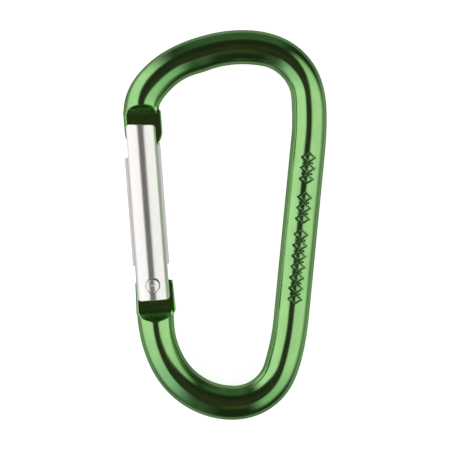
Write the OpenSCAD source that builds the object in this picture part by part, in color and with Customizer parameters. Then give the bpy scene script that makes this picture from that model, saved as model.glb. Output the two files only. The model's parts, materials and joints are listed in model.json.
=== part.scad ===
// Snap carabiner: a bent rod whose two ends are flattened into tongues, and a
// solid-rod gate that swings inwards on a rivet against a sprung plunger.
//
// The carabiner lies flat. +Y runs along its length towards the wide end, +X runs from the
// gate to the spine, +Z is up, and z = 0 is the lowest line of the gate. The gate and the two
// tongues are drawn in the gate's own frame, [u, v, w]: u runs across the gate towards the
// spine, v runs along it from the rivet to the nose, and w is up. Its origin is on the
// rivet's axis, in the middle plane of the rod.

/* [Body] */
// Diameter of the body's rod
rod_d = 7.2; // [6:0.1:7.3]
// Thickness of the hinge tongue
hinge_tongue_t = 3; // [2:0.25:3.5]
// Width of the hinge tongue where it is widest
hinge_tongue_w = 7.9; // [7:0.1:8.5]
// Thickness of the nose tongue
nose_tongue_t = 4; // [3:0.25:4.5]
// Width of the nose tongue, which ends in a full round
nose_tongue_w = 7.7; // [7:0.1:8]

/* [Gate] */
// Diameter of the gate's rod
gate_d = 7.5; // [7:0.25:8.5]
// Lean of the gate away from the long axis, in degrees
gate_lean = 4.4; // [0:0.2:8]
// Distance from the rivet's axis to the nose end of the gate
gate_reach = 33; // [32:0.1:33.5]
// Distance from the rivet's axis to the hinge end of the gate
gate_heel = 3; // [2.5:0.25:3.25]
// Depth of the hinge slot's floor past the rivet's axis
hinge_slot_v = 4.3; // [4.2:0.1:5]
// Radius of the curved floor of the nose slot
nose_floor_r = 13; // [12:0.5:20]
// Room between each face of a tongue and its slot
slot_gap = 0.1; // [0.05:0.05:0.2]
// Room left between the closed gate and the nose tongue
stop_gap = 0.05; // [0.02:0.01:0.1]

/* [Hinge] */
// Diameter of the rivet
rivet_d = 2.7; // [2.3:0.1:3]
// Radial room round the rivet and round the plunger
running_gap = 0.05; // [0.02:0.01:0.08]
// Diameter of the round cam on the end of the hinge tongue
cam_d = 6; // [5:0.2:6.2]
// Offset of the cam's centre from the rivet's axis, towards the spine
cam_offset = 1; // [0.6:0.1:1]

/* [Spring and plunger] */
// Diameter of the pocket bored up the gate
pocket_d = 2.7; // [2.4:0.1:3]
// Distance from the rivet's axis to the end of the pocket
pocket_v = 17; // [15:0.5:20]
// Length of the plunger's cap
cap_l = 4.5; // [3.5:0.25:5]
// Diameter of the plunger's stem
stem_d = 1.3; // [1:0.1:1.4]
// Length of the plunger's stem
stem_l = 3; // [2:0.5:4]
// Diameter of the spring's wire
wire_d = 0.35; // [0.25:0.05:0.4]
// Number of open turns in the spring
open_turns = 7; // [5:1:8]

/* [Hidden] */
$fn = 96;
past = 1;                              // how far a cutter runs past the surface it cuts
collar_lip = 0.01;                     // a seam's collar stands this far off the rod
collar_t = 0.4;

rod_r = rod_d / 2;
gate_r = gate_d / 2;
mid_z = gate_r;                        // height of the middle plane of the rod

// Ends of the rod's centreline, on the two tongues, in the gate's frame
hinge_end = [0.2, -5.2];
nose_end = [0.45, 35.4];

// Hinge tongue: its middle, where its flats end, and the cove that rises to the rod
hinge_mid_u = 0.2;
hinge_flat_v = -5.3;
hinge_cove_r = 2.1;
hinge_root_v = -7.5;                   // where the tongue ends inside the rod
shoulder_v = 0.6;                      // height of the tongue's shoulders beside the cam
shoulder_w = 7.5;
corner_r = 1;

// Nose tongue: the centre of its round tip, where its flats end, and its cove
nose_tip = [0.5, 31.6];
nose_flat_v = 35.5;
nose_cove_r = 1.65;
nose_root_v = 36.8;
root_inset = 1;                        // a tongue's root is this much narrower, on each side
cove_bite = 0.05;                      // the coves cut this far below a tongue's faces

// The closed gate meets the tip of the nose tongue low down on the spine's side
stop_angle = 53;
nose_floor_centre = nose_tip
    + (nose_floor_r - nose_tongue_w / 2 - stop_gap) * [-cos(stop_angle), sin(stop_angle)];

// Plunger and spring, along the gate's axis
touch_gap = 0.01;                      // between the plunger's face and the cam
cap_d = pocket_d - 2 * running_gap;
cap_v = cam_d / 2 + touch_gap;
seat_v = cap_v + cap_l;
spring_d = pocket_d - 0.55;            // measured at the middle of the wire
closed_turns = 1;                      // at each end of the spring
closed_pitch = wire_d + 0.02;
seat_gap = 0.02;
ring_sides = 6;
rings_per_turn = 16;

// The rod's centreline, from the hinge tongue round the narrow end, up the spine, over the
// wide end and down to the nose tongue. A bend is [radius, degrees] and turns left. A straight
// run is [0, length], and a FREE run takes the length that brings the centreline to the nose.
FREE = [0, 0];
first_heading = -90;
outline = [
    [0, 3.1], [19, 28], [15, 60], [10, 70], [49.5, 12],
    FREE,
    [48.5, 11], [11, 74], [24.5, 29],
    FREE,
    [16.5, 40], [7, 36]
];

function is_run(leg) = leg[0] == 0;
function is_free(leg) = leg == FREE;
function ahead(heading) = [cos(heading), sin(heading)];
function leftward(heading) = [-sin(heading), cos(heading)];
function point_of(pose) = [pose.x, pose.y];

// The pose, [u, v, heading], part of the way along a leg
function along(pose, leg, share) =
    let (heading = is_run(leg) ? pose.z : pose.z + share * leg[1])
    let (step = is_run(leg)
        ? share * leg[1] * ahead(heading)
        : leg[0] * (leftward(pose.z) - leftward(heading)))
    [pose.x + step.x, pose.y + step.y, heading];

// The poses at the ends of all the legs
function walk(pose, legs, i = 0) =
    i == len(legs) ? [pose] : concat([pose], walk(along(pose, legs[i], 1), legs, i + 1));

// The two free runs close the outline: their lengths, along their own headings, add up to
// the gap that is left when both are nothing
first_pose = [hinge_end.x, hinge_end.y, first_heading];
unclosed = walk(first_pose, outline);
gap = nose_end - point_of(unclosed[len(outline)]);
free = [for (i = [0:len(outline) - 1]) if (is_free(outline[i])) i];
up_spine = ahead(unclosed[free[0]].z);
over_top = ahead(unclosed[free[1]].z);
spine_l = cross(gap, over_top) / cross(up_spine, over_top);
top_l = cross(up_spine, gap) / cross(up_spine, over_top);
legs = [for (i = [0:len(outline) - 1])
    i == free[0] ? [0, spine_l] : i == free[1] ? [0, top_l] : outline[i]];
poses = walk(first_pose, legs);

// The part's place: the middle of its plan goes to the origin
function in_plan(p) = [
    p.x * cos(gate_lean) - p.y * sin(gate_lean),
    p.x * sin(gate_lean) + p.y * cos(gate_lean)
];
centreline = [for (i = [0:len(legs) - 1]) for (share = [0:0.05:1])
    in_plan(point_of(along(poses[i], legs[i], share)))];
rod_low = [min([for (p = centreline) p.x]), min([for (p = centreline) p.y])] - rod_r * [1, 1];
rod_high = [max([for (p = centreline) p.x]), max([for (p = centreline) p.y])] + rod_r * [1, 1];
nose_corner_x = in_plan([nose_tip.x - nose_tongue_w / 2, nose_flat_v]).x;
pivot = [-(min(rod_low.x, nose_corner_x) + rod_high.x) / 2, -(rod_low.y + rod_high.y) / 2];

module in_gate_frame() {
    translate([pivot.x, pivot.y, mid_z]) rotate([0, 0, gate_lean]) children();
}

// Turns what stands on +Z to lie along the gate, +v
module lay_along_gate() {
    rotate([-90, 0, 0]) children();
}

// One leg of the rod. It stops a little short of both its ends, inside their collars.
module rod_leg(pose, leg) {
    length = is_run(leg) ? leg[1] : leg[0] * leg[1] * PI / 180;
    trim = collar_t / 4 / length;
    from = along(pose, leg, trim);
    amount = leg[1] * (1 - 2 * trim);
    if (is_run(leg)) {
        translate([from.x, from.y, 0]) rotate([0, 0, from.z]) rotate([0, 90, 0])
            cylinder(d = rod_d, h = amount);
    } else {
        centre = point_of(from) + leg[0] * leftward(from.z);
        translate([centre.x, centre.y, 0]) rotate([0, 0, from.z - 90])
            rotate_extrude(angle = amount) translate([leg[0], 0]) circle(d = rod_d);
    }
}

// A thin collar joins two legs of the rod
module rod_seam(pose) {
    translate([pose.x, pose.y, 0]) rotate([0, 0, pose.z]) rotate([0, 90, 0])
        cylinder(d = rod_d + 2 * collar_lip, h = collar_t, center = true);
}

// The coves across both faces of the rod's end, where it thins down to a tongue
module coves(flat_v, tongue_t, cove_r) {
    for (face = [-1, 1])
        translate([0, flat_v, face * (tongue_t / 2 - cove_bite + cove_r)])
            rotate([0, 90, 0]) cylinder(r = cove_r, h = 2 * rod_d, center = true);
}

// The tongue inside the gate's hinge slot: shoulders, a round cam and the rivet's bore
module hinge_tongue() {
    wide = hinge_tongue_w / 2;
    top = shoulder_w / 2;
    difference() {
        linear_extrude(height = hinge_tongue_t, center = true) {
            translate([hinge_mid_u, 0]) polygon([
                [root_inset - rod_r, hinge_root_v], [rod_r - root_inset, hinge_root_v],
                [wide, hinge_flat_v],
                [top, shoulder_v - corner_r], [top - corner_r, shoulder_v],
                [corner_r - top, shoulder_v], [-top, shoulder_v - corner_r],
                [-wide, hinge_flat_v]
            ]);
            for (side = [-1, 1])
                translate([hinge_mid_u + side * (top - corner_r), shoulder_v - corner_r])
                    circle(r = corner_r);
            translate([cam_offset, 0]) circle(d = cam_d);
        }
        cylinder(d = rivet_d + 2 * running_gap, h = rod_d, center = true);
    }
}

// The tongue inside the gate's nose slot, with a full-round tip
module nose_tongue() {
    wide = nose_tongue_w / 2;
    linear_extrude(height = nose_tongue_t, center = true) {
        translate(nose_tip) circle(r = wide);
        polygon([
            [nose_tip.x - wide, nose_tip.y], [nose_tip.x + wide, nose_tip.y],
            [nose_tip.x + wide, nose_flat_v], [nose_tip.x + rod_r - root_inset, nose_root_v],
            [nose_tip.x - rod_r + root_inset, nose_root_v], [nose_tip.x - wide, nose_flat_v]
        ]);
    }
}

// Bent rod with its two tongues
module body() {
    color("forestgreen") in_gate_frame() {
        difference() {
            union() {
                for (i = [0:len(legs) - 1]) rod_leg(poses[i], legs[i]);
                for (i = [1:len(legs) - 1]) rod_seam(poses[i]);
            }
            coves(hinge_flat_v, hinge_tongue_t, hinge_cove_r);
            coves(nose_flat_v, nose_tongue_t, nose_cove_r);
        }
        hinge_tongue();
        nose_tongue();
    }
}

// Solid-rod gate, slotted at both ends and bored for the plunger and its spring
module gate() {
    hinge_slot_w = hinge_tongue_t + 2 * slot_gap;
    nose_slot_w = nose_tongue_t + 2 * slot_gap;
    color("gainsboro") in_gate_frame() difference() {
        translate([0, -gate_heel, 0]) lay_along_gate()
            cylinder(d = gate_d, h = gate_heel + gate_reach + past);
        // the nose end is cut square to the carabiner, not to the gate
        translate([0, gate_reach, 0]) rotate([0, 0, -gate_lean]) translate([0, gate_d / 2, 0])
            cube([2 * gate_d, gate_d, 2 * gate_d], center = true);
        translate([nose_floor_centre.x, nose_floor_centre.y, 0])
            cylinder(r = nose_floor_r, h = nose_slot_w, center = true);
        translate([-gate_d, -gate_d, -hinge_slot_w / 2])
            cube([2 * gate_d, gate_d + hinge_slot_v, hinge_slot_w]);
        translate([0, hinge_slot_v - past, 0]) lay_along_gate()
            cylinder(d = pocket_d, h = pocket_v - hinge_slot_v + past);
        cylinder(d = rivet_d, h = gate_d + 2 * past, center = true);
    }
}

// Rivet through the gate's cheeks and the hinge tongue, dressed flush with the gate
module hinge_rivet() {
    flush_d = gate_d - 0.1;
    color("silver") in_gate_frame() intersection() {
        cylinder(d = rivet_d, h = gate_d, center = true);
        translate([0, -rivet_d, 0]) lay_along_gate() cylinder(d = flush_d, h = 2 * rivet_d);
    }
}

// Flat-faced plunger that the spring presses on the cam
module plunger() {
    color("dimgray") in_gate_frame() translate([0, cap_v, 0]) lay_along_gate() {
        cylinder(d = cap_d, h = cap_l);
        cylinder(d = stem_d, h = cap_l + stem_l);
    }
}

// Height along the spring after so many turns: closed ends, and open turns between them
function coil_height(turn) =
    let (pitch = (spring_rise - 2 * closed_turns * closed_pitch) / open_turns)
    let (opened = min(max(turn - closed_turns, 0), open_turns))
    opened * pitch + (turn - opened) * closed_pitch;

all_turns = open_turns + 2 * closed_turns;
spring_rise = pocket_v - seat_v - wire_d - 2 * seat_gap;

// One round of points about the wire's middle line
function coil_ring(turn) = [for (side = [0:ring_sides - 1])
    let (angle = 360 * turn, tilt = 360 * side / ring_sides)
    let (radius = spring_d / 2 + wire_d / 2 * cos(tilt))
    [radius * cos(angle), radius * sin(angle), coil_height(turn) + wire_d / 2 * sin(tilt)]];

// Compression spring between the plunger's shoulder and the end of the pocket
module closing_spring() {
    last_ring = all_turns * rings_per_turn;
    points = [for (i = [0:last_ring]) each coil_ring(i / rings_per_turn)];
    walls = [for (i = [0:last_ring - 1]) for (k = [0:ring_sides - 1])
        let (next = (k + 1) % ring_sides, low = i * ring_sides, high = low + ring_sides)
        [low + k, low + next, high + next, high + k]];
    ends = [
        [for (k = [ring_sides - 1:-1:0]) k],
        [for (k = [0:ring_sides - 1]) last_ring * ring_sides + k]
    ];
    color("gray") in_gate_frame() translate([0, seat_v + seat_gap + wire_d / 2, 0])
        lay_along_gate() polyhedron(points = points, faces = concat(walls, ends));
}

body();
gate();
hinge_rivet();
closing_spring();
plunger();
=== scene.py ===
"""Looks of the snap carabiner: a green anodised rod with a polished gate, lying flat.

Every piece is a skin drawn over a distance field, in millimetres, in the gate's own frame:
u runs across the gate towards the spine, v along it from the rivet to the nose, and w is up.
The origin is on the rivet's axis, in the middle plane of the rod.
"""

import json
import math

import bpy
import numpy as np
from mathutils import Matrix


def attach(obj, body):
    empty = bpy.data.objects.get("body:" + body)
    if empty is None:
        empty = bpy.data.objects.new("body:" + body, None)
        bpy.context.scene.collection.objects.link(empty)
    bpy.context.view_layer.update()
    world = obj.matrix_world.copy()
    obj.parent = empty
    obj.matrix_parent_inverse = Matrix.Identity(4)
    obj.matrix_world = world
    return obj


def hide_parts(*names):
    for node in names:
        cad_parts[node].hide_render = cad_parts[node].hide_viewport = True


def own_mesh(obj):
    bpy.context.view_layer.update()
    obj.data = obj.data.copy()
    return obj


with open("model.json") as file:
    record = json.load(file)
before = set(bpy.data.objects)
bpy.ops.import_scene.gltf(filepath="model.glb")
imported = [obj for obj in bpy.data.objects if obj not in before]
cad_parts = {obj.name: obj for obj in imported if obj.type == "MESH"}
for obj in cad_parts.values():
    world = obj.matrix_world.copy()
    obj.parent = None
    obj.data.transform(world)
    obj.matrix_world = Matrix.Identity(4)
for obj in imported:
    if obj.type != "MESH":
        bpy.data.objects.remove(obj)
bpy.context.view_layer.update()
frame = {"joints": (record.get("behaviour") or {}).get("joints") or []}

MM = 0.001

# ---------------------------------------------------------------- sizes, in mm, as in the CAD
ROD_R = 3.6
HINGE_T, NOSE_T = 3.0, 4.0
HINGE_END, NOSE_END = (0.2, -5.2), (0.45, 35.4)
HINGE_FLAT_V, NOSE_FLAT_V = -5.3, 35.5
HINGE_ROOT_V, NOSE_ROOT_V = -7.5, 36.8
CAM_U, CAM_R = 1.0, 3.0
NOSE_TIP, NOSE_WIDE = (0.5, 31.6), 3.85
COVE_BITE = 0.05
SLOT_GAP, STOP_GAP, RUNNING_GAP, TOUCH_GAP, SEAT_GAP = 0.1, 0.05, 0.05, 0.01, 0.02
GATE_R, GATE_HEEL, GATE_REACH = 3.75, 3.0, 33.0
GATE_LEAN, STOP_ANGLE = math.radians(4.4), math.radians(53)
HINGE_SLOT_V, NOSE_FLOOR_R = 4.3, 13.0
FLOOR_AWAY = NOSE_FLOOR_R - NOSE_WIDE - STOP_GAP
NOSE_FLOOR_CENTRE = (
    NOSE_TIP[0] - FLOOR_AWAY * math.cos(STOP_ANGLE),
    NOSE_TIP[1] + FLOOR_AWAY * math.sin(STOP_ANGLE),
)
RIVET_R = 1.35
BORE_R = RIVET_R + RUNNING_GAP
POCKET_R, POCKET_V = 1.35, 17.0
CAP_R, CAP_V, CAP_L = POCKET_R - RUNNING_GAP, CAM_R + TOUCH_GAP, 4.5
STEM_R, STEM_L = 0.65, 3.0
WIRE_R, SPRING_R, OPEN_TURNS = 0.175, 1.075, 7
CLOSED_PITCH = 2 * WIRE_R + SEAT_GAP

# Finer shape, which the CAD leaves plain or has a little differently
HINGE_MID_U, HINGE_WIDE, HINGE_TOP = 0.28, 4.03, 3.87
SHOULDER_V, CAM_SIDE = 0.97, 3.3
ROOT_HALF = 2.55
COVE_RISE, HINGE_CURL, NOSE_CURL = 0.6, 0.156, 0.24
PEENED_R = 3.2
MOUTH_ASIDE, MOUTH_W = (0.18, 0.24), 3.0
HEEL_HALF, NOSE_HALF = 3.42, 3.15
NOSE_FLOOR_LOW = 26.5

# The rod's centreline, from the hinge tongue round the narrow end to the nose tongue. A bend
# is (radius, degrees) and turns left, a straight run is (0, length), and the two FREE runs
# take the lengths that bring the line to the nose.
FREE = (0, 0)
OUTLINE = [
    (0, 3.1), (19, 28), (15, 60), (10, 70), (49.5, 12), FREE,
    (48.5, 11), (11, 74), (24.5, 29), FREE, (16.5, 40), (7, 36),
]

# ---------------------------------------------------------------- the gate's frame
joints = {j["name"]: j for j in frame["joints"]}
PIVOT = np.array(joints["gate_hinge"]["pos_m"])
ALONG = np.array(joints["plunger_slide"]["axis"], float)
ALONG /= np.linalg.norm(ALONG)
UP = np.array([0.0, 0.0, 1.0])
ACROSS = np.cross(ALONG, UP)


def to_row(points):
    """Points in the gate's frame, in mm, as points in the row frame, in metres."""
    return PIVOT + MM * (points @ np.array([ACROSS, ALONG, UP]))


# ---------------------------------------------------------------- the centreline
STEP_S = 0.05


def headings(legs):
    """The heading at even steps along the legs, in radians."""
    found, start = [], -math.pi / 2
    for radius, amount in legs:
        length = radius * math.radians(amount) if radius else amount
        turn = math.radians(amount) if radius else 0.0
        count = max(1, round(length / STEP_S))
        found.append(start + turn * (np.arange(count) + 0.5) / count)
        start += turn
    return np.concatenate(found)


def even_out(values, width):
    """A moving average over that width of the line."""
    half = int(width / STEP_S) // 2
    padded = np.pad(values, half, mode="edge")
    return np.convolve(padded, np.ones(2 * half + 1) / (2 * half + 1), mode="valid")


def centreline():
    """Arc length, points, tangents and curvature of the rod's middle line."""
    legs = list(OUTLINE)
    first, second = [i for i, leg in enumerate(legs) if leg == FREE]
    gap = np.array(NOSE_END) - np.array(HINGE_END)
    start = -math.pi / 2
    ways = {}
    for i, (radius, amount) in enumerate(legs):
        way = np.array([math.cos(start), math.sin(start)])
        if legs[i] == FREE:
            ways[i] = way
        elif radius == 0:
            gap = gap - amount * way
        else:
            end = start + math.radians(amount)
            gap = gap - radius * np.array(
                [math.sin(end) - math.sin(start), math.cos(start) - math.cos(end)]
            )
            start = end
    lengths = np.linalg.solve(np.array([ways[first], ways[second]]).T, gap)
    legs[first], legs[second] = (0, lengths[0]), (0, lengths[1])
    heading = even_out(even_out(headings(legs), 3.0), 2.0)
    steps = STEP_S * np.stack([np.cos(heading), np.sin(heading)], 1)
    points = np.vstack([[0, 0], np.cumsum(steps, 0)]) + HINGE_END
    share = np.linspace(0, 1, len(points))[:, None]
    points = points + share * (np.array(NOSE_END) - points[-1])
    tangents = np.gradient(points, axis=0)
    tangents /= np.linalg.norm(tangents, axis=1)[:, None]
    turned = np.unwrap(np.arctan2(tangents[:, 1], tangents[:, 0]))
    bend = even_out(np.gradient(turned, STEP_S), 2.0)
    return np.arange(len(points)) * STEP_S, points, tangents, bend


LINE_S, LINE_P, LINE_T, LINE_K = centreline()
LINE_L = LINE_S[-1]
# bending draws the rod in a little, across the bend, and more so at the wide end, and
# pressing the tongues spreads the rod beside them, on the side away from the spine
DRAWN = np.interp(LINE_S, [60, 90, LINE_L - 12, LINE_L - 8], [1.3, 2.4, 2.4, 1.1])
SPREAD = np.interp(LINE_S, [2.0, 8.0, LINE_L - 8.0, LINE_L - 2.0], [0.12, 0.0, 0.0, 0.12])
LINE_HALF = ROD_R - np.abs(LINE_K) * DRAWN + SPREAD

CELL = 0.5
CELL_LOW = LINE_P.min(0) - 6
CELL_COUNT = np.ceil((LINE_P.max(0) + 6 - CELL_LOW) / CELL).astype(int)


def nearest_cells():
    """For each cell of a coarse plan grid, the arc length of the nearest point of the line."""
    coarse = LINE_P[::4]
    found = np.zeros(CELL_COUNT)
    v = CELL_LOW[1] + CELL * np.arange(CELL_COUNT[1])
    for i in range(CELL_COUNT[0]):
        u = CELL_LOW[0] + CELL * i
        away = (coarse[:, 0, None] - u) ** 2 + (coarse[:, 1, None] - v) ** 2
        found[i] = LINE_S[::4][away.argmin(0)]
    return found


CELL_S = nearest_cells()


def on_line(u, v):
    """Arc length along the line, and offset to its left, of points in the plan."""
    u, v = np.broadcast_arrays(u, v)
    i = np.clip(np.rint((u - CELL_LOW[0]) / CELL).astype(int), 0, CELL_COUNT[0] - 1)
    j = np.clip(np.rint((v - CELL_LOW[1]) / CELL).astype(int), 0, CELL_COUNT[1] - 1)
    s = CELL_S[i, j]
    for _ in range(4):
        tu, tv = (np.interp(s, LINE_S, LINE_T[:, k]) for k in (0, 1))
        du, dv = (q - np.interp(s, LINE_S, LINE_P[:, k]) for k, q in ((0, u), (1, v)))
        ends = np.clip(s, 0, LINE_L)
        du, dv = du - (s - ends) * tu, dv - (s - ends) * tv
        n = dv * tu - du * tv
        s = s + (du * tu + dv * tv) / np.maximum(1 - np.interp(s, LINE_S, LINE_K) * n, 0.3)
    return s, n


# ---------------------------------------------------------------- distance fields
def both(a, b, r):
    """What two solids share, with its edge rounded to radius r."""
    over = np.hypot(np.maximum(r + a, 0), np.maximum(r + b, 0))
    return np.minimum(-r, np.maximum(a, b)) + over


def either(a, b, r):
    """Two solids together, with a fillet of radius r between them."""
    return -both(-a, -b, r)


def oval(n, w, a, b):
    """Distance to an ellipse with half axes a and b."""
    near = np.sqrt((n / a) ** 2 + (w / b) ** 2)
    slope = np.sqrt((n / a**2) ** 2 + (w / b**2) ** 2)
    return near * (near - 1) / np.maximum(slope, 1e-6)


def tapered(au, v, wide, flat_v, root_v, nearer):
    """The side of a tongue's root, which narrows inside the rod from flat_v to root_v."""
    run = root_v - flat_v
    size = math.hypot(wide - ROOT_HALF, run)
    return ((au - wide) * abs(run) + (v - flat_v) * nearer * (wide - ROOT_HALF)) / size


# Plain engraved border on the spine: hollow lozenges with a bar between each two, in three
# runs. A run is (arc length of its start, lozenges).
MARK_RUNS = [(54.85, 7), (71.3, 3), (79.45, 3)]
MARK_PITCH, MARK_LONG, MARK_TALL = 2.2, 0.78, 1.25
MARK_BAR, MARK_HALF, MARK_SOFT = 0.8, 0.14, 0.1
MARK_DEPTH, MARK_SIDE = 0.13, -0.3


def marks(s, n):
    """How deeply the border is cut, from 0 to 1, at a place along and across the rod."""
    aside = np.abs(n - MARK_SIDE)
    found = 0.0
    for start, count in MARK_RUNS:
        turn = (s - start) / MARK_PITCH
        along = np.abs(turn - np.clip(np.rint(turn), 0, count - 1)) * MARK_PITCH
        shape = (along / MARK_LONG + aside / MARK_TALL - 1) * MARK_LONG * 0.9
        between = np.abs(turn - np.clip(np.rint(turn - 0.5), 0, count - 2) - 0.5) * MARK_PITCH
        bar = np.hypot(between, np.maximum(aside - MARK_BAR, 0))
        past = np.minimum(np.abs(shape), bar) - MARK_HALF
        found = np.maximum(found, np.clip(0.5 - past / (2 * MARK_SOFT), 0, 1))
    return found


def round_side(u, w):
    """How far a tongue's side draws in above and below the rod's middle plane. It keeps the
    rod's roundness on the side away from the spine."""
    return 0.13 * w**2 * np.clip(0.5 - u / 4, 0, 1)


def hinge_tongue(u, v, w):
    # the sides lean in from the flats' end to HINGE_TOP, 1 mm short of the shoulders
    au = np.abs(u - HINGE_MID_U)
    lean = math.atan2(HINGE_WIDE - HINGE_TOP, SHOULDER_V - 1 - HINGE_FLAT_V)
    side = (au - HINGE_WIDE) * math.cos(lean) + (v - HINGE_FLAT_V) * math.sin(lean)
    plate = both(side, v - SHOULDER_V, 0.35)
    plate = np.maximum(plate, tapered(au, v, HINGE_WIDE, HINGE_FLAT_V, HINGE_ROOT_V, -1))
    plate = np.maximum(plate, HINGE_ROOT_V - v)
    cam = both(np.hypot(u - CAM_U, v) - CAM_R, u - CAM_SIDE, 0.4)
    plate = either(plate, cam, 0.15)
    plate = both(plate + round_side(u, w), BORE_R - np.hypot(u, v), 0.1)
    return both(plate, np.abs(w) - HINGE_T / 2, 0.12)


def nose_tongue(u, v, w):
    au = np.abs(u - NOSE_TIP[0])
    past = np.minimum(v - NOSE_TIP[1], 0)
    plate = np.hypot(au, past) - NOSE_WIDE
    plate = np.maximum(plate, tapered(au, v, NOSE_WIDE, NOSE_FLAT_V, NOSE_ROOT_V, 1))
    plate = np.maximum(plate, v - NOSE_ROOT_V)
    return both(plate + round_side(u, w), np.abs(w) - NOSE_T / 2, 0.12)


def cove(into, w, thick, curl):
    """The hollow that thins the rod's end down to a tongue, rising as it goes into the rod."""
    run = np.maximum(into, 0)
    rise = COVE_RISE * run + curl * run**3
    steep = np.where(into > 0, COVE_RISE + 3 * curl * run**2, 0.0)
    return (np.abs(w) - thick / 2 + COVE_BITE - rise) / np.hypot(1, steep)


def body_field(u, v, w):
    s, n = on_line(u, v)
    half = np.interp(s, LINE_S, LINE_HALF)
    rod = oval(n + np.interp(s, LINE_S, SPREAD), w, half, ROD_R)
    rod = rod + MARK_DEPTH * marks(s, n) * (w > 0)
    rod = np.maximum(rod, np.maximum(-s, s - LINE_L))
    low = both(rod, cove(HINGE_FLAT_V - v, w, HINGE_T, HINGE_CURL), 0.16)
    high = both(rod, cove(v - NOSE_FLAT_V, w, NOSE_T, NOSE_CURL), 0.16)
    rod = np.where(s < 12, low, np.where(s > LINE_L - 12, high, rod))
    tongues = np.minimum(hinge_tongue(u, v, w), nose_tongue(u, v, w))
    return either(rod, tongues, 0.25)


def gate_field(u, v, w):
    rod = np.hypot(u, w) - GATE_R
    # both ends are faced square, with their cheeks' corners eased
    heel = -GATE_HEEL - v
    heel = np.where(v < -1.5, both(heel, np.abs(u) - HEEL_HALF, 1.0), heel)
    rod = both(rod, heel, 0.15)
    square = u * math.sin(GATE_LEAN) + (v - GATE_REACH) * math.cos(GATE_LEAN)
    square = np.where(v > GATE_REACH - 1.5, both(square, np.abs(u) - NOSE_HALF, 0.9), square)
    rod = both(rod, square, 0.15)
    floor = NOSE_FLOOR_R - np.hypot(u - NOSE_FLOOR_CENTRE[0], v - NOSE_FLOOR_CENTRE[1])
    floor = np.minimum(floor, v - NOSE_FLOOR_LOW)
    slot = both(np.abs(w) - NOSE_T / 2 - SLOT_GAP, -floor, 0.2)
    rod = both(rod, -slot, 0.18)
    slot = both(np.abs(w) - HINGE_T / 2 - SLOT_GAP, v - HINGE_SLOT_V, 0.2)
    rod = both(rod, -slot, 0.18)
    pocket = np.maximum(np.hypot(u, w) - POCKET_R, np.maximum(v - POCKET_V, 1 - v))
    rod = both(rod, -pocket, 0.1)
    rod = both(rod, RIVET_R - np.hypot(u, v), 0.04)
    # the bore's mouth is open a little on one side of the rivet's head
    mouth = np.hypot(u - MOUTH_ASIDE[0], v - MOUTH_ASIDE[1]) - RIVET_R
    mouth = np.maximum(mouth, MOUTH_W - np.abs(w))
    return both(rod, -mouth, 0.04)


def rivet_field(u, v, w):
    pin = np.hypot(u, v) - RIVET_R
    # the ends are peened a little rounder than the gate, and dimpled by the punch
    middle = GATE_R - 0.02 - PEENED_R
    ends = np.hypot(u + 0.08, np.maximum(np.abs(w) - middle, 0)) - PEENED_R
    dimple = 0.32 - np.sqrt((u - 0.05) ** 2 + v**2 + (np.abs(w) - GATE_R - 0.2) ** 2)
    return both(both(pin, ends, 0.04), dimple, 0.05)


def plunger_field(u, v, w):
    r = np.hypot(u, w)
    cap = both(r - CAP_R, np.abs(v - CAP_V - CAP_L / 2) - CAP_L / 2, 0.15)
    stem = both(r - STEM_R, v - CAP_V - CAP_L - STEM_L, 0.12)
    return either(cap, np.maximum(stem, CAP_V + 1 - v), 0.1)


# ---------------------------------------------------------------- skins
def slope(field, points, reach):
    """The field's gradient at some points."""
    total = np.zeros_like(points)
    for k in ((1, -1, -1), (-1, -1, 1), (-1, 1, -1), (1, 1, 1)):
        at = points + reach * np.array(k)
        total += np.outer(field(at[:, 0], at[:, 1], at[:, 2]), k)
    return total / (4 * reach)


def net(value, step, origin):
    """Surface net: one point in each cell that the surface crosses, and a quad across each
    grid edge that it crosses."""
    inside = value < 0
    size = np.array(value.shape) - 1
    corners = [(i, j, k) for i in (0, 1) for j in (0, 1) for k in (0, 1)]
    count = sum(
        inside[i : size[0] + i, j : size[1] + j, k : size[2] + k].astype(np.int8)
        for i, j, k in corners
    )
    active = (count > 0) & (count < 8)
    cells = np.argwhere(active)
    number = np.full(active.shape, -1)
    number[active] = np.arange(len(cells))
    total, hits = np.zeros((len(cells), 3)), np.zeros(len(cells))
    for axis in range(3):
        unit = np.eye(3, dtype=int)[axis]
        for corner in corners:
            if corner[axis]:
                continue
            low = cells + corner
            high = low + unit
            a, b = value[tuple(low.T)], value[tuple(high.T)]
            cross = (a < 0) != (b < 0)
            t = a[cross] / (a[cross] - b[cross])
            total[cross] += np.array(corner) + t[:, None] * unit
            hits += cross
    points = origin + step * (cells + total / hits[:, None])
    faces = []
    for axis in range(3):
        first, second = (np.eye(3, dtype=int)[(axis + k) % 3] for k in (1, 2))
        unit = np.eye(3, dtype=int)[axis]
        low = tuple(slice(0, n - 1 if k == axis else n) for k, n in enumerate(inside.shape))
        high = tuple(slice(1 if k == axis else 0, n) for k, n in enumerate(inside.shape))
        at = np.argwhere(inside[low] != inside[high])
        around = [number[tuple((at - e).T)] for e in (0 * unit, first, first + second, second)]
        quads = np.stack(around, 1)
        out = inside[tuple(at.T)]
        faces.append(np.where(out[:, None], quads, quads[:, ::-1]))
    return points, np.concatenate(faces)


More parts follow.
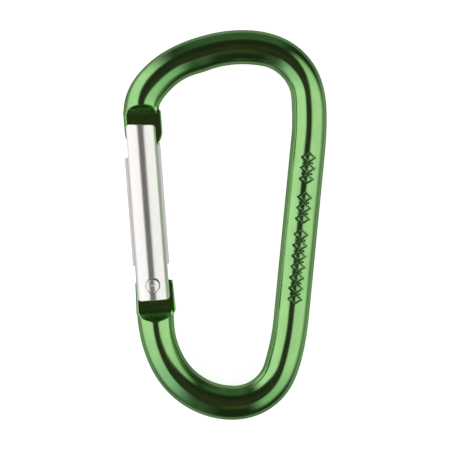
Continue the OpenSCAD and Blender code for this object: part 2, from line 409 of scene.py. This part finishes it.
def skin(field, low, high, step):
    """Points, quads and normals of a field's surface within a box."""
    axes = [np.arange(a - 2 * step, b + 3 * step, step) for a, b in zip(low, high, strict=True)]
    u, v, w = axes[0][:, None, None], axes[1][None, :, None], axes[2][None, None, :]
    value = np.broadcast_to(field(u, v, w), [len(a) for a in axes]).astype(np.float32)
    points, faces = net(value, step, np.array([a[0] for a in axes]))
    for _ in range(4):
        grad = slope(field, points, 0.03)
        off = field(points[:, 0], points[:, 1], points[:, 2])
        steepness = np.maximum((grad**2).sum(1), 0.25)
        points = points - np.clip(off / steepness, -step, step)[:, None] * grad
    normals = slope(field, points, 0.03)
    normals /= np.maximum(np.linalg.norm(normals, axis=1), 1e-9)[:, None]
    return points, faces, normals


def crest(field, points):
    """From 0 on a flat or gently round face to 1 on a sharp outer edge."""
    reach, total = 0.12, 0.0
    middle = field(points[:, 0], points[:, 1], points[:, 2])
    for k in range(3):
        for sign in (-1, 1):
            at = points + sign * reach * np.eye(3)[k]
            total = total + field(at[:, 0], at[:, 1], at[:, 2]) - middle
    return np.clip((total / reach**2 - 0.8) / 3.0, 0, 1)


def piece(name, points, faces, normals, place, edge, stamp=None):
    """A mesh object from a skin. place is the piece's own unbent coordinates, in mm, for its
    material, and edge and stamp say where it wears and where it is engraved."""
    mesh = bpy.data.meshes.new(name)
    mesh.from_pydata(to_row(points).tolist(), [], [list(face) for face in faces])
    mesh.shade_smooth()
    turned = normals @ np.array([ACROSS, ALONG, UP])
    mesh.normals_split_custom_set_from_vertices(turned.tolist())
    vector = mesh.attributes.new("place", "FLOAT_VECTOR", "POINT")
    vector.data.foreach_set("vector", place.astype(np.float32).ravel())
    for title, values in (("edge", edge), ("stamp", stamp)):
        if values is not None:
            mesh.attributes.new(title, "FLOAT", "POINT").data.foreach_set(
                "value", values.astype(np.float32)
            )
    made = bpy.data.objects.new(name, mesh)
    bpy.context.scene.collection.objects.link(made)
    return made


# ---------------------------------------------------------------- node helpers
def add(tree, kind, inputs=None, **settings):
    """A node with its settings and inputs, which are values or other nodes' outputs."""
    made = tree.nodes.new(kind)
    for key, value in settings.items():
        setattr(made, key, value)
    for key, value in (inputs or {}).items():
        if isinstance(value, bpy.types.NodeSocket):
            tree.links.new(value, made.inputs[key])
        else:
            made.inputs[key].default_value = value
    return made


def sums(tree, operation, a, b=0.0, c=0.0):
    return add(tree, "ShaderNodeMath", {0: a, 1: b, 2: c}, operation=operation).outputs[0]


def ramp(tree, value, low, high, start=0.0, end=1.0):
    """A smooth step from start, at low, to end, at high."""
    return add(
        tree,
        "ShaderNodeMapRange",
        {"Value": value, "From Min": low, "From Max": high, "To Min": start, "To Max": end},
        interpolation_type="SMOOTHSTEP",
    ).outputs["Result"]


def blend_colours(tree, share, a, b, way="MIX"):
    made = add(tree, "ShaderNodeMix", {0: share, 6: a, 7: b}, data_type="RGBA", blend_type=way)
    return made.outputs[2]


def mixed(tree, share, a, b):
    return add(tree, "ShaderNodeMix", {0: share, 2: a, 3: b}).outputs[0]


def grain(tree, place, scale, detail=3.0, size=1.0, rough=0.55):
    """Noise over the piece's own coordinates, stretched by scale along each."""
    spread = add(
        tree, "ShaderNodeVectorMath", {0: place, 1: scale}, operation="MULTIPLY"
    ).outputs[0]
    return add(
        tree,
        "ShaderNodeTexNoise",
        {"Vector": spread, "Scale": size, "Detail": detail, "Roughness": rough},
    ).outputs["Fac"]


def attribute(tree, name, output="Fac"):
    return add(tree, "ShaderNodeAttribute", attribute_name=name).outputs[output]


def metal(
    name, colour, worn, rough, lines, coat=0.0, haze=0.0, cloudy=0.1, glance=None, cut_tone=None
):
    """A drawn, tumbled metal: fine lines along the piece, cloudy tone and roughness, paler
    worn edges, and a clear coat or sealed film of strength coat. glance tints the gloss seen
    at a glancing angle, and cut_tone is the colour of milled faces and engraved lines."""
    made = bpy.data.materials.new(name)
    made.use_nodes = True
    tree = made.node_tree
    shader = tree.nodes["Principled BSDF"]
    place = attribute(tree, "place", "Vector")
    edge = attribute(tree, "edge")

    drawn = grain(tree, place, (0.16, 9.0, 9.0))
    broad = grain(tree, place, (0.05, 2.2, 2.2), 2.0)
    cloud = grain(tree, place, (0.2, 0.6, 0.6), 4.0)
    specks = grain(tree, place, (1.0, 1.0, 1.0), 2.0, 9.0)
    lined = sums(
        tree, "ADD", sums(tree, "MULTIPLY", drawn, 0.6), sums(tree, "MULTIPLY", broad, 0.4)
    )
    if cut_tone:
        # the tongues and coves carry the cutter's marks, which run across them
        flats = attribute(tree, "milled")
        swept = grain(tree, place, (3.2, 0.16, 3.2), 4.0)
        lined = mixed(tree, flats, lined, swept)

    dark = tuple((1 - cloudy) * c for c in colour) + (1,)
    light = tuple(min(1.0, (1 + cloudy / 2) * c) for c in colour) + (1,)
    tone = blend_colours(tree, ramp(tree, cloud, 0.3, 0.7), dark, light)
    tone = blend_colours(tree, ramp(tree, lined, 0.35, 0.68, 0.0, 0.6), tone, dark)
    nicks = sums(tree, "MULTIPLY", edge, ramp(tree, specks, 0.35, 0.62))
    tone = blend_colours(tree, sums(tree, "MULTIPLY", nicks, 0.4), tone, worn + (1,))

    roughness = ramp(tree, cloud, 0.25, 0.75, rough * 0.9, rough * 1.1)
    roughness = sums(tree, "ADD", roughness, ramp(tree, lined, 0.3, 0.75, -0.02, 0.04))
    pits = sums(tree, "MULTIPLY", specks, 0.1 * lines)
    height = sums(tree, "ADD", sums(tree, "MULTIPLY", lined, lines), pits)
    if cut_tone:
        ridges = sums(tree, "MULTIPLY", flats, sums(tree, "SUBTRACT", lined, 0.5))
        height = sums(tree, "ADD", height, sums(tree, "MULTIPLY", ridges, 14 * lines))
        streak = sums(tree, "MULTIPLY", flats, ramp(tree, swept, 0.35, 0.65, 0.25, 0.95))
        tone = blend_colours(tree, streak, tone, cut_tone + (1,))
        # the engraved lines are coloured much darker than the face around them, by an amount that
        # varies with the specks
        cut = attribute(tree, "stamp")
        engraved_darkening = sums(tree, "MULTIPLY", cut, ramp(tree, specks, 0.2, 0.7, 0.95, 0.7))
        engraved = tuple(0.16 * c for c in cut_tone) + (1,)
        tone = blend_colours(tree, engraved_darkening, tone, engraved)
        roughness = sums(tree, "ADD", roughness, sums(tree, "MULTIPLY", cut, 0.25))
    bump = add(
        tree,
        "ShaderNodeBump",
        {"Height": height, "Strength": 1.0, "Distance": 0.00001},
    ).outputs["Normal"]
    for key, value in (("Base Color", tone), ("Roughness", roughness), ("Normal", bump)):
        tree.links.new(value, shader.inputs[key])
    shader.inputs["Metallic"].default_value = 1.0 - haze
    if glance:
        shader.inputs["Specular Tint"].default_value = glance + (1,)
    shader.inputs["Coat Weight"].default_value = coat
    shader.inputs["Coat Roughness"].default_value = 0.08
    shader.inputs["Coat IOR"].default_value = 1.6
    return made


# ---------------------------------------------------------------- the pieces
GREEN = metal(
    "green_anodised_aluminium", (0.297, 0.6, 0.217), (0.36, 0.62, 0.3), 0.13, 0.5,
    coat=0.3, glance=(0.3, 0.42, 0.24), cut_tone=(0.2, 0.52, 0.1),
)
SILVER = metal(
    "polished_aluminium", (0.96, 0.95, 0.925), (0.98, 0.975, 0.96), 0.17, 0.5,
    haze=0.26, cloudy=0.035,
)
RIVET = metal(
    "stainless_rivet", (0.97, 0.955, 0.91), (0.98, 0.97, 0.94), 0.2, 0.5, haze=0.28, cloudy=0.06
)
WIRE = metal("spring_wire", (0.62, 0.60, 0.57), (0.75, 0.74, 0.72), 0.25, 0.8)
STEEL = metal("plunger_steel", (0.45, 0.44, 0.43), (0.6, 0.59, 0.58), 0.32, 0.8)


def milled(points, normals, s):
    """From 0 to 1 where the cutter has been: over the tongues' faces and in their coves."""
    v, w = points[:, 1], points[:, 2]
    level = np.clip((np.abs(normals[:, 2]) - 0.7) / 0.25, 0, 1)
    found = 0.0
    for from_end, into, thick, curl in (
        (s, HINGE_FLAT_V - v, HINGE_T, HINGE_CURL),
        (LINE_L - s, v - NOSE_FLAT_V, NOSE_T, NOSE_CURL),
    ):
        hollow = np.clip(1.6 - np.abs(cove(into, w, thick, curl)) / 0.08, 0, 1)
        found = found + np.where(into < 0, level, hollow) * (from_end < 8)
    return found


points, faces, normals = skin(body_field, (-4.2, -31.0, -3.65), (40.0, 52.0, 3.65), 0.225)
s, n = on_line(points[:, 0], points[:, 1])
body = piece(
    "carabiner_body", points, faces, normals,
    np.stack([s, n, points[:, 2]], 1), crest(body_field, points),
    marks(s, n) * (points[:, 2] > 0),
)
body.data.attributes.new("milled", "FLOAT", "POINT").data.foreach_set(
    "value", milled(points, normals, s).astype(np.float32)
)
body.data.materials.append(GREEN)
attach(body, "body")
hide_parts("body")


def small_piece(name, field, low, high, step, material, body_name, node):
    """A piece whose own length runs along the gate."""
    points, faces, normals = skin(field, low, high, step)
    made = piece(name, points, faces, normals, points[:, [1, 0, 2]], crest(field, points))
    made.data.materials.append(material)
    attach(made, body_name)
    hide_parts(node)
    return made


small_piece(
    "gate_rod", gate_field, (-3.8, -3.1, -3.8), (3.8, 33.4, 3.8), 0.13,
    SILVER, "gate", "gate",
)
small_piece(
    "rivet", rivet_field, (-1.4, -1.4, -3.8), (1.4, 1.4, 3.8), 0.09,
    RIVET, "gate", "hinge_rivet",
)
small_piece(
    "plunger_pin", plunger_field, (-1.43, 2.87, -1.43), (1.4, 10.6, 1.4), 0.1,
    STEEL, "plunger", "plunger",
)


def spring_wire():
    """The spring as a round wire swept along its coils, closed at both ends."""
    sides, per_turn = 10, 28
    turns = OPEN_TURNS + 2
    seat = CAP_V + CAP_L + SEAT_GAP + WIRE_R
    rise = POCKET_V - seat - SEAT_GAP - WIRE_R
    pitch = (rise - 2 * CLOSED_PITCH) / OPEN_TURNS
    turn = np.linspace(0, turns, turns * per_turn + 1)
    opened = np.clip(turn - 1, 0, OPEN_TURNS)
    v = seat + opened * pitch + (turn - opened) * CLOSED_PITCH
    angle = 2 * math.pi * turn
    tilt = 2 * math.pi * np.arange(sides) / sides
    angle, tilt = np.meshgrid(angle, tilt, indexing="ij")
    out, rise_w = np.cos(tilt), np.sin(tilt)
    facing = np.stack([out * np.cos(angle), rise_w, -out * np.sin(angle)], 2)
    middle_line = np.stack([np.cos(angle), 0 * angle, -np.sin(angle)], 2) * SPRING_R
    middle_line[..., 1] = v[:, None]
    ring = middle_line + WIRE_R * facing
    place = np.stack([angle * SPRING_R, WIRE_R * out, WIRE_R * rise_w], 2)
    rings = len(turn)
    i, k = np.meshgrid(np.arange(rings - 1), np.arange(sides), indexing="ij")
    low, high = i * sides, (i + 1) * sides
    after = (k + 1) % sides
    walls = np.stack([low + k, high + k, high + after, low + after], -1).reshape(-1, 4).tolist()
    caps = [list(range(sides)), [(rings - 1) * sides + q for q in range(sides)][::-1]]
    return ring.reshape(-1, 3), walls + caps, facing.reshape(-1, 3), place.reshape(-1, 3)


points, faces, normals, place = spring_wire()
spring = piece("closing_coil", points, faces, normals, place, np.zeros(len(points)))
spring.data.materials.append(WIRE)
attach(spring, "gate")
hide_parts("closing_spring")
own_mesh(spring)

# ---------------------------------------------------------------- floor, light and camera
FLOOR_HALF = 3.0


def floor_plane():
    mesh = bpy.data.meshes.new("studio_floor")
    corners = [(x * FLOOR_HALF, y * FLOOR_HALF, 0) for x, y in ((-1, -1), (1, -1), (1, 1), (-1, 1))]
    mesh.from_pydata(corners, [], [(0, 1, 2, 3)])
    made = bpy.data.objects.new("studio_floor", mesh)
    bpy.context.scene.collection.objects.link(made)
    return made


floor = floor_plane()
white = bpy.data.materials.new("pale_table")
white.use_nodes = True
paper = white.node_tree.nodes["Principled BSDF"]
paper.inputs["Base Color"].default_value = (0.85, 0.85, 0.85, 1)
paper.inputs["Roughness"].default_value = 0.9
paper.inputs["Emission Color"].default_value = (1, 1, 1, 1)
paper.inputs["Emission Strength"].default_value = 0.8
floor.data.materials.append(white)
floor.visible_glossy = False

world = bpy.data.worlds.new("studio")
bpy.context.scene.world = world
world.use_nodes = True
sky = world.node_tree
toward = add(sky, "ShaderNodeTexCoord").outputs["Generated"]
parts = add(sky, "ShaderNodeSeparateXYZ", {0: toward}).outputs
gatewards = sums(sky, "MULTIPLY", parts["X"], -1)
azimuth = sums(sky, "MULTIPLY", sums(sky, "ARCTAN2", parts["Y"], parts["X"]), 180 / math.pi)
mirrored = sums(sky, "MULTIPLY", sums(sky, "ARCTAN2", parts["Y"], gatewards), 180 / math.pi)
off_zenith = sums(sky, "MULTIPLY", sums(sky, "ARCCOSINE", parts["Z"]), 180 / math.pi)


def band(value, low, high, soft):
    """1 from low to high, falling away softly on both sides."""
    rising = ramp(sky, value, low - soft, low + soft)
    return sums(sky, "MULTIPLY", rising, ramp(sky, value, high - soft, high + soft, 1.0, 0.0))


def softbox(around, start, end, near, far, soft):
    """How bright one softbox is, from 0 to 1. It reaches from start to end degrees round from
    its own side. Its near and far edges are degrees off the zenith on the hinge's side, in the
    middle and on the nose's side."""
    inner, outer = (
        sums(
            sky, "ADD", ramp(sky, around, -50, -5, edge[0] - edge[1], 0.0),
            ramp(sky, around, 0, 50, edge[1], edge[2]),
        )
        for edge in (near, far)
    )
    top = ramp(sky, sums(sky, "SUBTRACT", off_zenith, inner), -5, 7)
    bottom = ramp(sky, sums(sky, "SUBTRACT", off_zenith, outer), -17, 17, 1.0, 0.0)
    across = band(around, start, end, soft)
    return sums(sky, "MULTIPLY", across, sums(sky, "MULTIPLY", top, bottom))


def grey(value):
    return add(sky, "ShaderNodeCombineColor", {0: value, 1: value, 2: value}).outputs[0]


spine_box = softbox(azimuth, -65, 48, (23, 14, 44), (77, 96, 68), 10.0)
gate_box = softbox(mirrored, -52, 52, (25, 20, 47), (97, 106, 121), 12.0)

# dim room beyond the boxes: near black and brownish overhead, a little paler past the nose,
# greenish where the piece sees itself, and the pale table low down
back = ramp(sky, off_zenith, 44, 62, 0.0, 0.08)
back = sums(sky, "MULTIPLY", band(azimuth, 62, 112, 10), back)
side = ramp(sky, off_zenith, 24, 50, 0.0, 0.065)
side = sums(sky, "MULTIPLY", band(azimuth, -132, -105, 9), side)
overhead = ramp(sky, off_zenith, 6, 22, 0.014, 0.0)
near_spine = ramp(sky, off_zenith, 94, 108, 0.0, 0.18)
near_spine = sums(sky, "MULTIPLY", band(azimuth, -32, 16, 18), near_spine)
table = sums(sky, "ADD", sums(sky, "MULTIPLY", band(mirrored, -32, 8, 12), 0.2), 0.38)
table = sums(sky, "MULTIPLY", table, ramp(sky, off_zenith, 104, 132))
table = sums(sky, "MULTIPLY", table, ramp(sky, off_zenith, 145, 166, 1.0, 0.5))
dim = sums(sky, "ADD", sums(sky, "ADD", back, side), sums(sky, "ADD", overhead, near_spine))
dim = sums(sky, "ADD", sums(sky, "ADD", dim, table), 0.028)
seen = ramp(sky, off_zenith, 100, 122, 1.0, 0.0)
seen = sums(sky, "MULTIPLY", ramp(sky, off_zenith, 28, 50), seen)
cast = blend_colours(sky, seen, (1.3, 1.1, 0.84, 1), (1.0, 1.35, 1.0, 1))
cast = blend_colours(sky, ramp(sky, off_zenith, 100, 122), cast, (1.0, 1.0, 1.0, 1))
surround = blend_colours(sky, 1.0, cast, grey(dim), "MULTIPLY")
wood = sums(sky, "MULTIPLY", band(azimuth, -98, -74, 7), band(off_zenith, 18, 44, 8))
surround = blend_colours(sky, wood, surround, (0.1, 0.08, 0.045, 1))
shade = ramp(sky, azimuth, -58, -2)
spine_tone = blend_colours(sky, shade, (0.56, 0.72, 0.6, 1), (1.12, 1.1, 1.09, 1))
spine_tone = blend_colours(sky, ramp(sky, azimuth, 14, 40), spine_tone, (0.8, 0.84, 0.76, 1))
gate_shade = ramp(sky, mirrored, -58, -2)
gate_tone = blend_colours(sky, gate_shade, (0.55, 0.7, 0.78, 1), (1.2, 1.17, 1.19, 1))
lit = blend_colours(sky, spine_box, surround, spine_tone)
lit = blend_colours(sky, gate_box, lit, gate_tone)
backing = sky.nodes["Background"]
sky.links.new(lit, backing.inputs["Color"])
backing.inputs["Strength"].default_value = 1.0

# The camera looks straight down from CAMERA_UP above the gate's top, where the view is
# VIEW_WIDTH wide. Both are in metres.
VIEW_WIDTH, CAMERA_UP = 0.09207, 0.8
camera = bpy.data.cameras.new("camera")
camera.sensor_width = 36
camera.lens = 36 * CAMERA_UP / VIEW_WIDTH
camera.clip_start, camera.clip_end = 0.01, 10
shot = bpy.data.objects.new("camera", camera)
shot.location = (0.0, 0.0, GATE_R * MM + CAMERA_UP)
bpy.context.scene.collection.objects.link(shot)
bpy.context.scene.camera = shot
bpy.context.scene.view_settings.view_transform = "Standard"
